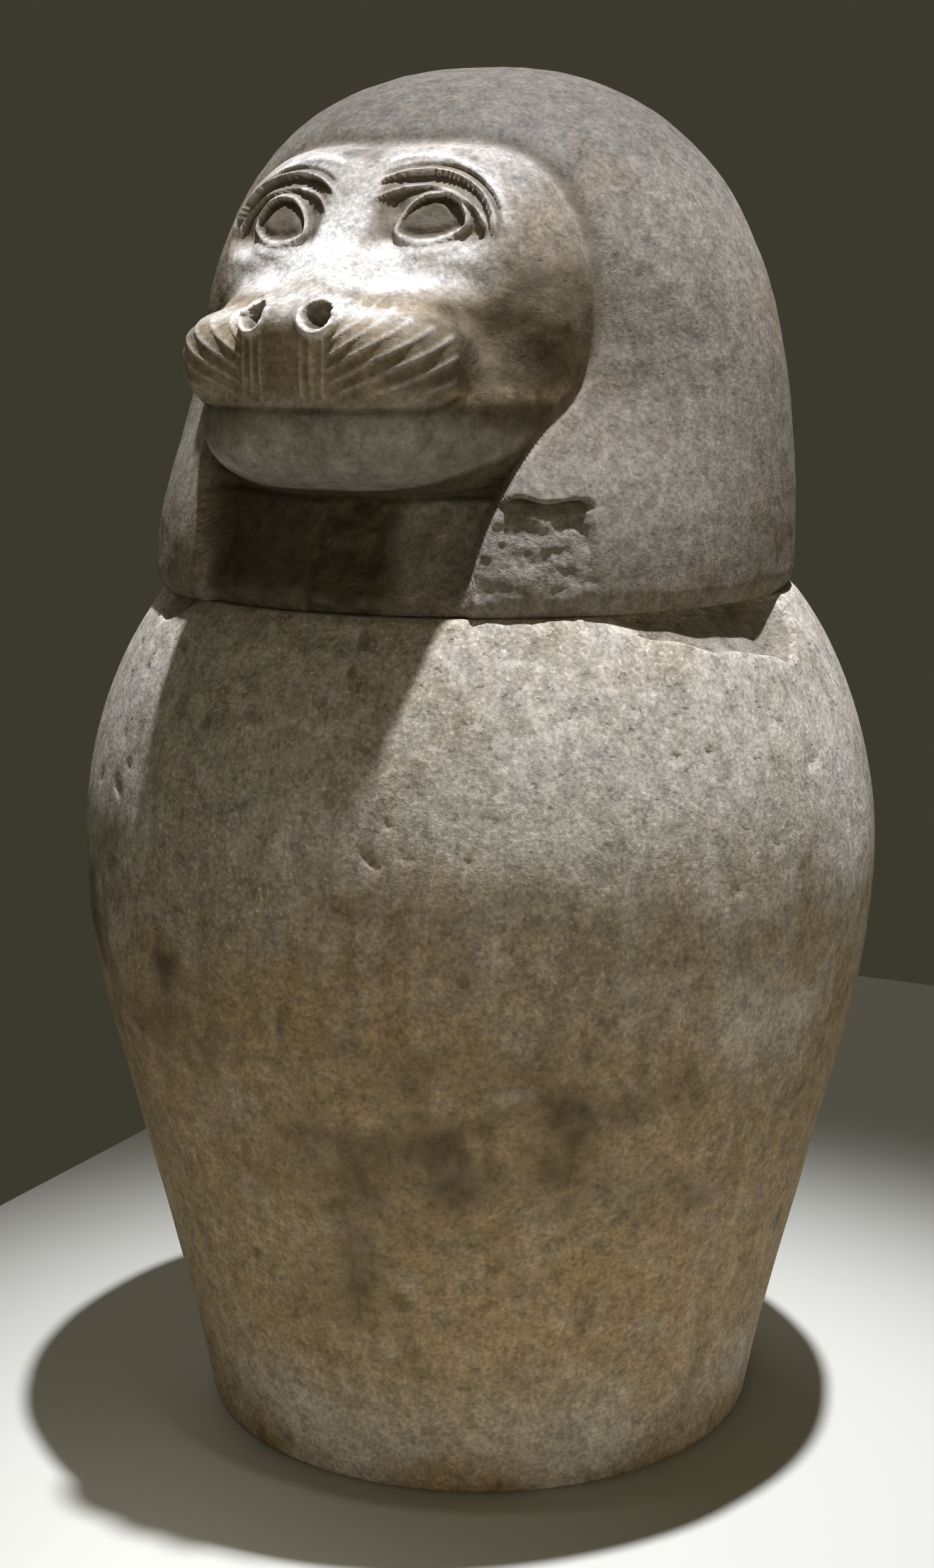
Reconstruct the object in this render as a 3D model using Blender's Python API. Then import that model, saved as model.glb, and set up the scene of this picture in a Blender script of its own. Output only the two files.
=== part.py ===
"""A limestone canopic jar: a hollow jar and a lid carved as a baboon's head.

Metres, +Z up. The origin is at the middle of the jar's underside, and the
face looks along -Y. Both pieces are turned or carved from one stone each.
"""
import bpy
import numpy as np

# The jar, metres
JAR_HEIGHT = 0.25
FOOT_RADIUS = 0.0831
BELLY_RADIUS = 0.1177
BELLY_HEIGHT = 0.172
RIM_RADIUS = 0.0919
WALL = 0.026
FLOOR_THICKNESS = 0.035
MOUTH_RADIUS = 0.055
NECK_DEPTH = 0.03
# The lid, metres
LID_HEIGHT = 0.1454
LID_OVERHANG = 0.0019
SEAT_GAP = 0.0003
PLUG_CLEARANCE = 0.003
PLUG_DEPTH = 0.018
LID_OFFSET = (-0.0017, -0.0009)
# Chips lost from the rim: where each starts, is deepest and ends, in degrees from
# the face towards +X, how far it falls and how far in it reaches, metres
RIM_CHIPS = ((37.0, 82.0, 97.0, 0.0145, 0.011), (-56.0, -39.0, -27.0, 0.006, 0.005))
RIM_CHIP_REACH = 0.014
# How finely the two stones are cut before they are thinned out
JAR_SEGMENTS = 160
JAR_TRIANGLES = 2600
LID_COLUMNS = 300
LID_ROWS = 190
LID_TRIANGLES = 7200
SHARP_EDGE = np.radians(40.0)

# The head is drawn on a grid with this many units to its radius and its height.
# At the sizes above one unit is a millimetre.
HEAD_RADIUS_UNITS = 93.8
HEAD_HEIGHT_UNITS = 145.4

LID_RADIUS = RIM_RADIUS + LID_OVERHANG
LID_BASE = JAR_HEIGHT + SEAT_GAP
PLUG_RADIUS = MOUTH_RADIUS - PLUG_CLEARANCE
HEAD_WIDE = LID_RADIUS / HEAD_RADIUS_UNITS
HEAD_TALL = LID_HEIGHT / HEAD_HEIGHT_UNITS


def bezier(start, handle_a, handle_b, end, steps):
    """Points along a cubic curve, without its last point."""
    t = np.linspace(0.0, 1.0, steps, endpoint=False)[:, None]
    points = [np.array(p) for p in (start, handle_a, handle_b, end)]
    return ((1 - t) ** 3 * points[0] + 3 * (1 - t) ** 2 * t * points[1]
            + 3 * (1 - t) * t ** 2 * points[2] + t ** 3 * points[3])


def smooth_step(low, high, x):
    t = np.clip((x - low) / (high - low), 0.0, 1.0)
    return t * t * (3 - 2 * t)


def bump(x, centre, width):
    """A smooth hill, 1 at its centre and about a third at its width."""
    return np.exp(-((x - centre) / width) ** 2)


def blend_union(a, b, reach):
    """The union of two fields, filled with a fillet of this reach."""
    h = np.clip(0.5 + 0.5 * (b - a) / reach, 0.0, 1.0)
    return b + (a - b) * h - reach * h * (1 - h)


def ovoid(across, front, up, centre, half, power):
    """Rough distance to a superellipsoid, measured along the ray from its centre."""
    u, v, w = across - centre[0], front - centre[1], up - centre[2]
    gauge = (np.abs(u / half[0]) ** power + np.abs(v / half[1]) ** power
             + np.abs(w / half[2]) ** power) ** (1 / power) + 1e-9
    return np.sqrt(u * u + v * v + w * w) * (1 - 1 / gauge)


def wig(across, front, up):
    """The smooth headcloth: a domed turned form whose crown leans back,
    with a soft hollow where it runs round the face."""
    lean = 8.0 * smooth_step(40.0, 146.0, up)
    rise = np.maximum(up - 12.0, 0.0)
    reach = np.hypot(across, front + lean)
    gauge = ((reach / 93.8) ** 2.4 + (rise / 133.4) ** 2.4) ** (1 / 2.4) + 1e-9
    body = np.sqrt(reach ** 2 + rise ** 2) * (1 - 1 / gauge)
    turn = np.degrees(np.arctan2(np.abs(across), front))
    side = np.cos(np.clip((turn - 45.0) / 55.0, 0.0, 1.0) * np.pi / 2) ** 2
    spread = np.where(up < 62.0, 33.0, 44.0)
    hollow = 15.0 * side * np.exp(-((up - 62.0) / spread) ** 2)
    worn_edge = 2.2 * np.clip(1 - up / 6.0, 0.0, 1.0) ** 2
    return body + hollow + worn_edge


def face(across, front, up):
    """Forehead and cheeks, brow, jaw and snout in one soft form."""
    side = np.abs(across)
    below = np.maximum(66.0 - up, 0.0)
    drop = np.where(up < 66.0, 62.9 * (below / 46.5) ** 2.33, up - 66.0)
    form = ovoid(across, front, drop, (0.0, 10.0, 0.0), (61.5, 68.0, 62.9), 2.72)
    for centre, half, power, reach in (
            ((36.0, 45.0, 71.0), (20.0, 20.0, 26.0), 2.0, 8.0),
            ((0.0, 40.0, 52.0), (51.0, 50.0, 26.0), 2.7, 8.0),
            ((0.0, 50.0, 54.0), (39.0, 55.5, 24.0), 3.2, 6.0),
            ((18.0, 66.0, 73.5), (19.0, 26.0, 13.0), 2.2, 6.0)):
        form = blend_union(form, ovoid(side, front, up, centre, half, power), reach)
    return nose_and_pads(form, side, front, up)


def nose_and_pads(form, side, front, up):
    """The ridge from the brows to the nose, its blunt end and the pads beside it."""
    low, high = np.array([86.0, 69.5]), np.array([58.0, 96.0])
    run = high - low
    along = np.clip(((front - low[0]) * run[0] + (up - low[1]) * run[1]) / run.dot(run), 0.0, 1.0)
    thick, wide = 16.5 - 3.5 * along, 16.5 - 5.0 * along
    apart = np.hypot(front - low[0] - along * run[0], up - low[1] - along * run[1])
    gauge = ((side / wide) ** 3 + (apart / thick) ** 3) ** (1 / 3) + 1e-9
    form = blend_union(form, np.hypot(side, apart) * (1 - 1 / gauge), 4.0)
    form = blend_union(form, ovoid(side, front, up, (0.0, 83.0, 67.5), (17.5, 24.0, 15.5), 3.5), 3.0)
    return blend_union(form, ovoid(side, front, up, (18.0, 76.0, 65.3), (21.5, 29.0, 14.8), 2.6), 2.0)


def eyelids(side, up):
    """Signed distance to the line of the eyelids: a wide arc above and a flat one below."""
    x = side - 22.9
    y = up - 98.8 - 0.086 * x
    return np.maximum(np.hypot(x, y) - 9.1, np.hypot(x, y - 12.2) - 15.4)


def sockets(across, side, up):
    """Each socket steps down under two arched edges and runs out under the eye."""
    middle = 19.7 - 1.7 * np.tanh(across / 4.0)
    outer = np.hypot((side - middle) / 20.5, (up - 96.0) / 17.6)
    inner = np.hypot((side - middle - 0.6) / 18.0, (up - 95.0) / 14.6)
    steps = 1.6 * smooth_step(1.03, 0.96, outer) + 1.3 * smooth_step(1.02, 0.95, inner)
    steps += 1.4 * smooth_step(1.0, 0.6, inner)
    low = -steps * smooth_step(90.0, 98.0, up) * smooth_step(6.0, 15.0, side)
    low -= 1.3 * bump(side, 11.5, 3.0) * bump(up, 103.5, 4.5)
    x, y = (side - 22.9) / 11.5, (up - 101.0) / 8.5
    return low + 2.0 * smooth_step(1.25, 0.8, np.hypot(x, y)), outer, inner


def fine_carving(side, up, outer, inner):
    """Lines that stand on the face: brows, eyelids and iris."""
    lines = smooth_step(97.0, 101.0, up) * smooth_step(5.0, 9.0, side)
    crest = np.hypot((side - 16.0) / 25.0, (up - 96.0) / 22.0)
    height = 0.7 * bump(outer, 1.035, 0.026) + 0.7 * bump(inner, 1.03, 0.028)
    height += 0.6 * bump(crest, 1.0, 0.045)
    height -= 0.7 * bump(outer, 1.10, 0.03) + 0.5 * bump(outer, 0.965, 0.03)
    lids = eyelids(side, up)
    height = height * lines + 0.95 * bump(lids, 0.0, 0.6)
    height -= 0.5 * bump(lids, 2.0, 0.9) + 0.5 * bump(lids, -1.8, 0.9)
    iris = smooth_step(6.5, 6.1, np.hypot(side - 21.9, up - 99.4)) * smooth_step(-1.0, -1.7, lids)
    return height + 0.55 * iris


def whiskers(side, front, up):
    """Raised lines that fan up and out over each pad, and upright ones on the lip."""
    girth = 45.0 * np.arctan2(side, np.maximum(front - 62.0, 1.0)) - 12.0
    rooted = (up + 0.6 * girth) / (1 + 0.019 * girth)
    top = up + 0.0135 * np.maximum(side - 12.0, 0.0) ** 2
    on_pad = smooth_step(0.5, 1.5, girth) * smooth_step(36.0, 33.0, girth)
    on_pad = on_pad * smooth_step(56.5, 59.5, up) * smooth_step(82.5, 80.5, top)
    line = np.abs((rooted / 3.4) % 1.0 - 0.5) * 3.4
    upright = np.abs(((side - 5.9) / 2.9 + 0.5) % 1.0 - 0.5) * 2.9
    on_lip = smooth_step(5.0, 5.4, side) * smooth_step(12.9, 12.5, side) * smooth_step(90.0, 95.0, front)
    on_lip = on_lip * smooth_step(55.5, 58.0, up) * smooth_step(72.5, 71.0, up)
    return 0.6 * bump(line, 0.0, 0.52) * on_pad + 0.5 * bump(upright, 0.0, 0.5) * on_lip


def carving(across, front, up):
    """Height added to the face by its features, and the share of it that is fine line."""
    side = np.abs(across)
    low, outer, inner = sockets(across, side, up)
    fine = fine_carving(side, up, outer, inner) + whiskers(side, front, up)
    # each nostril slants back and down into the stone, with a lip round its lower half
    slant = up - 77.2 + 0.13 * (104.0 - front)
    nostril = np.hypot(side - 9.2 - 0.1 * (front - 104.0), 0.95 * slant)
    blunt = smooth_step(84.0, 92.0, front)
    rim = smooth_step(2.5, 0.5, slant) * smooth_step(3.5, 6.0, side)
    fine += 1.5 * bump(nostril, 4.6, 0.95) * blunt * rim
    fine -= 5.5 * smooth_step(3.9, 2.3, nostril) * blunt
    across_nose = smooth_step(15.0, 12.0, side) * smooth_step(90.0, 96.0, front)
    fine -= 0.8 * bump(up, 81.5 + 0.9 * np.sin(side), 0.8) * across_nose
    mouth = up - 53.6 - 6.0 * smooth_step(33.0, 43.0, side)
    fine -= 1.1 * bump(mouth, 0.0, 0.8) * smooth_step(70.0, 78.0, front) * smooth_step(39.5, 36.5, side)
    on_front = smooth_step(20.0, 45.0, front)
    return (low + fine) * on_front, fine * on_front


def lattice_noise(x, y, z, seed):
    """Smooth noise between -1 and 1, by blending fixed values at whole coordinates."""
    cell = [np.floor(v).astype(np.int64) for v in (x, y, z)]
    part = [v - c for v, c in zip((x, y, z), cell)]
    part = [v * v * (3 - 2 * v) for v in part]
    total = np.zeros(np.shape(x))
    for i in (0, 1):
        for j in (0, 1):
            for k in (0, 1):
                key = (cell[0] + i) * 374761393 + (cell[1] + j) * 668265263
                key = key + (cell[2] + k) * 2147483647 + seed * 974634777
                key = (key ^ (key >> 13)) * 1274126177
                value = ((key ^ (key >> 16)) & 65535) / 32767.5 - 1
                share = ((part[0] if i else 1 - part[0]) * (part[1] if j else 1 - part[1])
                         * (part[2] if k else 1 - part[2]))
                total = total + value * share
    return total


def chest_loss(across, front, up):
    """The sunk throat between the lappets, and the rough hollow broken out below it."""
    turn = np.degrees(np.arctan2(across, front))
    ragged = 1.6 * lattice_noise(turn / 5.0, turn * 0.0, turn * 0.0, 3)
    inside = smooth_step(-6.0, -3.0, turn) * smooth_step(48.0, 45.8, turn)
    inside = inside * smooth_step(30.5 + ragged, 28.0 + ragged, up)
    rough = 1.8 * lattice_noise(turn / 4.0, up / 4.0, front * 0.0, 5)
    foot = 0.35 + 0.65 * smooth_step(0.0, 20.0, up)
    bearing = np.degrees(np.arctan2(np.abs(across), front - 12.0))
    edge = 31.6 + 0.0069 * up ** 2
    neck = smooth_step(edge, edge - 2.5, bearing) * smooth_step(60.0, 48.0, up)
    neck = neck * smooth_step(20.0, 35.0, front)
    # on its right the hollow is shallow and slopes out
    shallow = 1 - 0.65 * smooth_step(10.0, 20.0, turn) * smooth_step(29.0, 25.0, up)
    return foot * np.maximum(inside * (11.0 + rough) * shallow, 10.0 * neck)


def head_field(across, front, up, carved):
    """Below zero inside the stone."""
    cloth = wig(across, front, up) + chest_loss(across, front, up)
    skin_form = face(across, front, up)
    stone = blend_union(cloth, skin_form, 1.0)
    if carved:
        stone = stone - carving(across, front, up)[0] + 1.1 * bump(cloth - skin_form, 0.0, 1.4)
    return stone


def skin_distance(start, heading, longest):
    """Distance along each ray to the outermost crossing, found by steps and halving."""
    def field(distance, carved):
        p = start + heading * distance[..., None]
        return head_field(p[..., 0], p[..., 1], p[..., 2], carved)

    inner = np.zeros(heading.shape[:-1])
    for step in np.linspace(0.15, 1.0, 40) * longest:
        inner = np.where(field(np.full(inner.shape, step), False) < 0, step, inner)
    low, high = inner, inner + longest / 40 + 0.5
    for carved, halvings in ((False, 10), (True, 14)):
        for _ in range(halvings):
            middle = (low + high) / 2
            within = field(middle, carved) < 0
            low, high = np.where(within, middle, low), np.where(within, high, middle)
        low, high = low - (0.0 if carved else 14.0), high + (0.0 if carved else 4.0)
    return (low + high) / 2


def spread(count, low, high, weight):
    """Positions from low to high that lie closer where the weight function is larger."""
    fine = np.linspace(low, high, 4001)
    total = np.cumsum(weight((fine[1:] + fine[:-1]) / 2))
    return np.interp(np.arange(count) / count * total[-1], np.concatenate([[0.0], total]), fine)


def ray_start_height(polar):
    """The height that a ray of each polar angle starts from: high for the crown and the eyes,
    low for the jaw, so that no ray grazes the brows or the chin."""
    degrees = np.degrees(polar)
    return 46.0 + 46.0 * smooth_step(102.0, 58.0, degrees)


def head_points(columns, rows):
    """Rows of points from the crown to the lower edge, as head units."""
    # Columns crowd towards the face, rows towards the eyes and the pads
    around = spread(columns, -np.pi, np.pi, lambda a: 0.25 + smooth_step(1.3, 0.7, np.abs(a)))
    share = spread(rows, 0.0, 1.0, lambda v: (0.7 + 2.2 * smooth_step(0.44, 0.49, v)
                                              - 2.2 * smooth_step(0.78, 0.82, v)))[1:]
    # The lower edge in the level plane, found by rays in that plane
    low = np.array([0.0, 0.0, 0.05])
    level = np.stack([np.sin(around), np.cos(around), 0 * around], axis=-1)
    edge = low + level * skin_distance(low, level, 130.0)[:, None]
    edge[:, 2] = 0.0
    lowest = np.arctan2(np.hypot(edge[:, 0], edge[:, 1] - 12.0), -46.0)
    bearing = np.arctan2(edge[:, 0], edge[:, 1] - 12.0)
    polar = lowest[None, :] * share[:, None]
    start = np.stack([0 * polar, 12.0 + 0 * polar, ray_start_height(polar)], axis=-1)
    heading = np.stack([np.sin(polar) * np.sin(bearing), np.sin(polar) * np.cos(bearing),
                        np.cos(polar)], axis=-1)
    body = start + heading * skin_distance(start, heading, 140.0)[..., None]
    crown = np.array([[0.0, 0.0, 1.0]])
    peak = np.array([0.0, 12.0, 92.0])
    top = peak + crown * skin_distance(peak, crown, 140.0)[:, None]
    return top[0], np.concatenate([body, edge[None]], axis=0)


def lid_mesh():
    top, body = head_points(LID_COLUMNS, LID_ROWS)
    scale = np.array([HEAD_WIDE, -HEAD_WIDE, HEAD_TALL])
    bearing = np.arctan2(body[-1, :, 0], body[-1, :, 1])
    lift = np.array([*LID_OFFSET, LID_BASE])
    body = body * scale + lift
    ring = np.stack([np.sin(bearing), -np.cos(bearing), np.zeros_like(bearing)], axis=-1)
    rows = [*body]
    for radius, drop in ((PLUG_RADIUS, 0.0), (PLUG_RADIUS, PLUG_DEPTH)):
        rows.append(ring * radius + lift - np.array([0.0, 0.0, drop]))
    under = lift - np.array([0.0, 0.0, PLUG_DEPTH])
    return closed_mesh("baboon_head_lid", np.array(rows), top * scale + lift, under)


def jar_outline(steps):
    """The outside of the wall from foot to rim: two arcs that meet at the belly."""
    belly = (BELLY_RADIUS, BELLY_HEIGHT)
    lower = bezier((FOOT_RADIUS, 0.0), (FOOT_RADIUS + 0.18 * BELLY_HEIGHT * 0.5, 0.48 * BELLY_HEIGHT),
                   (BELLY_RADIUS, 0.75 * BELLY_HEIGHT), belly, steps)
    shoulder = JAR_HEIGHT - BELLY_HEIGHT
    upper = bezier(belly, (BELLY_RADIUS, BELLY_HEIGHT + 0.37 * shoulder),
                   (RIM_RADIUS + 0.2 * shoulder, JAR_HEIGHT - 0.24 * shoulder),
                   (RIM_RADIUS, JAR_HEIGHT), steps)
    return np.concatenate([lower, upper])


def jar_cavity(steps):
    """The hollow from the mouth down to the floor."""
    neck_foot = JAR_HEIGHT - NECK_DEPTH
    widest = BELLY_RADIUS - WALL
    floor_radius = FOOT_RADIUS - WALL
    upper = bezier((MOUTH_RADIUS, neck_foot), (MOUTH_RADIUS + 0.02, neck_foot - 0.008),
                   (widest, BELLY_HEIGHT + 0.016), (widest, BELLY_HEIGHT - 0.006), steps)
    lower = bezier((widest, BELLY_HEIGHT - 0.006), (widest, 0.5 * BELLY_HEIGHT),
                   (floor_radius + 0.012, FLOOR_THICKNESS + 0.01),
                   (floor_radius, FLOOR_THICKNESS), steps)
    return np.concatenate([upper, lower, [(floor_radius, FLOOR_THICKNESS)]])


def rim_chip(reach, height, turn):
    """Lowers the rim's outer corner to the sloping face of each lost chip."""
    for start, deepest, end, depth, inward in RIM_CHIPS:
        grow = smooth_step(start, deepest, turn) * smooth_step(end, deepest, turn)
        ragged = 1 + 0.25 * lattice_noise(turn / 6.0, turn * 0.0, turn * 0.0, 11)
        fall = depth * grow * ragged
        slope = depth / (inward + 0.3 * depth)
        lowest = JAR_HEIGHT - fall + (RIM_RADIUS + 0.3 * fall - reach) * slope
        height = np.where(grow > 0, np.minimum(height, np.maximum(lowest, JAR_HEIGHT - fall)), height)
    return height


def jar_mesh():
    outside = jar_outline(16)
    across_land = np.linspace(RIM_RADIUS, RIM_RADIUS - RIM_CHIP_REACH, 8)
    land = [(reach, JAR_HEIGHT) for reach in (*across_land, MOUTH_RADIUS)]
    profile = np.concatenate([outside, land, jar_cavity(7)])
    turn = 2 * np.pi * np.arange(JAR_SEGMENTS) / JAR_SEGMENTS
    degrees = np.degrees(np.where(turn > np.pi, turn - 2 * np.pi, turn))
    reach = np.repeat(profile[:, :1], JAR_SEGMENTS, axis=1)
    height = np.repeat(profile[:, 1:], JAR_SEGMENTS, axis=1)
    outer = np.arange(len(profile))[:, None] < len(outside) + len(land) - 1
    height = np.where(outer, rim_chip(reach, height, degrees), height)
    rows = np.stack([reach * np.sin(turn), -reach * np.cos(turn), height], axis=-1)
    under = np.zeros(3)
    floor = np.array([0.0, 0.0, FLOOR_THICKNESS])
    return closed_mesh("jar", rows[::-1], floor, under)


def closed_mesh(name, rows, first_pole, last_pole):
    """Quads between rows of points that run down the outside, with a fan at each end."""
    count, columns = rows.shape[:2]
    points = np.concatenate([first_pole[None], rows.reshape(-1, 3), last_pole[None]])
    step = np.arange(columns)
    after = (step + 1) % columns
    quads = []
    for row in range(count - 1):
        a = 1 + row * columns
        b = a + columns
        quads.append(np.stack([a + step, b + step, b + after, a + after], axis=-1))
    faces = np.concatenate(quads).tolist()
    faces += [[0, 1 + i, 1 + j] for i, j in zip(step, after)]
    base = 1 + (count - 1) * columns
    faces += [[base + i, len(points) - 1, base + j] for i, j in zip(step, after)]
    mesh = bpy.data.meshes.new(name)
    mesh.from_pydata(points.tolist(), [], faces)
    mesh.shade_smooth()
    mesh.set_sharp_from_angle(angle=SHARP_EDGE)
    return mesh


def stone(name, colour, roughness):
    material = bpy.data.materials.new(name)
    material.use_nodes = True
    shader = material.node_tree.nodes["Principled BSDF"]
    shader.inputs["Base Color"].default_value = (*colour, 1.0)
    shader.inputs["Roughness"].default_value = roughness
    shader.inputs["Metallic"].default_value = 0.0
    return material


def add_piece(mesh, material, triangles):
    """Puts the mesh in the scene with its smooth areas thinned to this many triangles."""
    piece = bpy.data.objects.new(mesh.name, mesh)
    bpy.context.scene.collection.objects.link(piece)
    mesh.materials.append(material)
    mesh.calc_loop_triangles()
    thin = piece.modifiers.new("thin", "DECIMATE")
    thin.ratio = triangles / len(mesh.loop_triangles)
    return piece


def main():
    for old in list(bpy.data.objects):
        bpy.data.objects.remove(old, do_unlink=True)
    add_piece(jar_mesh(), stone("jar limestone", (0.42, 0.38, 0.32), 0.85), JAR_TRIANGLES)
    add_piece(lid_mesh(), stone("lid limestone", (0.46, 0.41, 0.35), 0.8), LID_TRIANGLES)


main()
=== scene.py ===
import math

import bpy
import numpy as np
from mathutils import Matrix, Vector


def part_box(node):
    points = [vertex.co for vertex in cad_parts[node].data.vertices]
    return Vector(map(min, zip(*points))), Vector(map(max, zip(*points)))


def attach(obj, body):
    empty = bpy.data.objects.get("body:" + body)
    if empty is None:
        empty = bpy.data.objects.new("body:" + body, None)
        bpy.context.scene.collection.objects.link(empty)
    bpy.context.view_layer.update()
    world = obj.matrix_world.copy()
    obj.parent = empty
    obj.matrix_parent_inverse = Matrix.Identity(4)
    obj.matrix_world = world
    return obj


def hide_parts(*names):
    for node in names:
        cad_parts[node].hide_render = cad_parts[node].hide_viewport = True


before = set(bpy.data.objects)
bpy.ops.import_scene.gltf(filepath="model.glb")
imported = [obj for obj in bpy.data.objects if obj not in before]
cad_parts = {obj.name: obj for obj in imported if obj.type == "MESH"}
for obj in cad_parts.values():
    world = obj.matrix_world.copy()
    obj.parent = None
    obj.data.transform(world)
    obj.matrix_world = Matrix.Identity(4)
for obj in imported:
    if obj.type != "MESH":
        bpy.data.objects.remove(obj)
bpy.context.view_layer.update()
print("frame loaded")


# Camera: a little above the shoulder, 27 degrees round from the face to its +X side
view = {
    "place": (0.3205, -0.6270, 0.3325),
    "tilt": 78.41,
    "turn": 27.39,
    "lens": 54.81,
}


def placeCamera():
    # a plain lens on a 36 mm wide sensor, aimed by its tilt up from straight down and its turn
    data = bpy.data.cameras.new("camera")
    data.lens = view["lens"]
    data.sensor_width = 36.0
    eye = bpy.data.objects.new("camera", data)
    eye.location = view["place"]
    eye.rotation_euler = (math.radians(view["tilt"]), 0.0, math.radians(view["turn"]))
    bpy.context.scene.collection.objects.link(eye)
    bpy.context.scene.camera = eye


# Shaping tools that both stones share; lengths inside them are millimetres

def ease(low, high, x):
    # 0 below low, 1 above high, a smooth S between; low may be the larger
    t = np.clip((x - low) / (high - low), 0.0, 1.0)
    return t * t * (3 - 2 * t)


def hill(x, centre, width):
    # a bell curve, 1 at its centre and about a third at its width
    return np.exp(-((x - centre) / width) ** 2)


def joined(a, b, reach):
    # the union of two fields with a fillet of this reach
    h = np.clip(0.5 + 0.5 * (b - a) / reach, 0.0, 1.0)
    return b + (a - b) * h - reach * h * (1 - h)


def ovoid(across, front, up, centre, half, power):
    # rough distance to a superellipsoid, along the ray from its centre
    u, v, w = across - centre[0], front - centre[1], up - centre[2]
    gauge = (np.abs(u / half[0]) ** power + np.abs(v / half[1]) ** power
             + np.abs(w / half[2]) ** power) ** (1 / power) + 1e-9
    return np.sqrt(u * u + v * v + w * w) * (1 - 1 / gauge)


def curve(start, handleA, handleB, end, steps):
    # points along a cubic curve, without its last point
    t = np.linspace(0.0, 1.0, steps, endpoint=False)[:, None]
    a, b, c, d = (np.array(p) for p in (start, handleA, handleB, end))
    return (1 - t) ** 3 * a + 3 * (1 - t) ** 2 * t * b + 3 * (1 - t) * t ** 2 * c + t ** 3 * d


def cellValue(i, j, k, seed):
    # a fixed value between -1 and 1 for each whole-number cell
    key = i * 374761393 + j * 668265263 + k * 2147483647 + seed * 974634777
    key = (key ^ (key >> 13)) * 1274126177
    return ((key ^ (key >> 16)) & 65535) / 32767.5 - 1


def noise(x, y, z, seed):
    # smooth noise between -1 and 1: cell values blended across each cell
    cell = [np.floor(v).astype(np.int64) for v in (x, y, z)]
    part = [v - c for v, c in zip((x, y, z), cell)]
    part = [v * v * (3 - 2 * v) for v in part]
    total = 0.0
    for i in (0, 1):
        for j in (0, 1):
            for k in (0, 1):
                share = ((part[0] if i else 1 - part[0]) * (part[1] if j else 1 - part[1])
                         * (part[2] if k else 1 - part[2]))
                total = total + share * cellValue(cell[0] + i, cell[1] + j, cell[2] + k, seed)
    return total


def rugged(points, size, octaves, seed):
    # octaves of noise, each half the size and half the height of the one before
    x, y, z = points[..., 0] / size, points[..., 1] / size, points[..., 2] / size
    total = 0.0
    for step in range(octaves):
        total = total + 0.5 ** step * noise(x * 2 ** step, y * 2 ** step, z * 2 ** step, seed + step)
    return total


def strokeDepth(points, strokes):
    # how deep short straight nicks cut: each is (start, end, half width, depth)
    depth = 0.0
    for start, end, halfWidth, deep in strokes:
        a, b = np.array(start), np.array(end)
        along = np.clip(((points - a) @ (b - a)) / ((b - a) @ (b - a) + 1e-9), 0.0, 1.0)
        apart = np.linalg.norm(points - a - along[..., None] * (b - a), axis=-1)
        depth = np.maximum(depth, deep * hill(apart, 0.0, halfWidth))
    return depth


def closedSurface(name, rows, firstPole, lastPole, marks):
    # quads between rows of points that run down the outside, a fan at each end,
    # and one value per point for each named mark that the materials read
    count, columns = rows.shape[:2]
    points = np.concatenate([firstPole[None], rows.reshape(-1, 3), lastPole[None]])
    step = np.arange(columns)
    after = (step + 1) % columns
    start = 1 + columns * np.arange(count - 1)[:, None]
    below = start + columns
    quads = np.stack([start + step, below + step, below + after, start + after], axis=-1)
    faces = quads.reshape(-1, 4).tolist()
    faces += np.stack([0 * step, 1 + step, 1 + after], axis=-1).tolist()
    last = 1 + (count - 1) * columns
    faces += np.stack([last + step, 0 * step + len(points) - 1, last + after], axis=-1).tolist()
    mesh = bpy.data.meshes.new(name)
    mesh.from_pydata(points.tolist(), [], faces)
    for mark, values in marks.items():
        flat = np.concatenate([values[:1, 0], values.reshape(-1), values[-1:, 0]])
        mesh.attributes.new(mark, "FLOAT", "POINT").data.foreach_set("value", flat.astype(np.float32))
    mesh.shade_smooth()
    piece = bpy.data.objects.new(name, mesh)
    bpy.context.scene.collection.objects.link(piece)
    return piece


# The lid: a baboon's head in a smooth wig, drawn in millimetres from the middle of
# its lower edge: across is +X, front is -Y, up is +Z

lid = {
    "radius": 93.8,          # of the lower edge on the drawing
    "height": 145.4,
    "band": 12.0,            # height of the straight band below the dome
    "plugRadius": 52.0,
    "plugDepth": 18.0,
    "eye": (22.9, 98.8),     # side and height of each eye's middle
    "nostril": (9.2, 77.2),  # the same for each nostril, at the nose's tip
    "noseTip": 104.0,        # how far front the tip stands
    "mouth": 53.6,           # height of the line between the lips
    "whiskerGap": 3.4,
    "lipLineGap": 2.9,
    "breakTop": 30.5,        # height of the upper edge of the broken chest
    "columns": 392,
    "rows": 248,
    "raysFront": 12.0,       # where the rays that draw the head start, on its middle plane
    "raysLow": 46.0,
    "raysHigh": 92.0,
    # where the rows crowd, by their share of the way from the crown to the edge
    "rowWeight": lambda v: (0.7 + 2.6 * ease(0.45, 0.50, v) + 2.4 * ease(0.63, 0.67, v)
                            - 3.5 * ease(0.75, 0.79, v)),
    # where the columns crowd, by the angle from the face in radians
    "columnWeight": lambda a: (0.2 + 0.5 * ease(1.35, 0.95, np.abs(a))
                               + 0.9 * ease(0.85, 0.65, np.abs(a))),
    "unevenness": 0.35,      # height of the hand-made waviness
}


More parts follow.
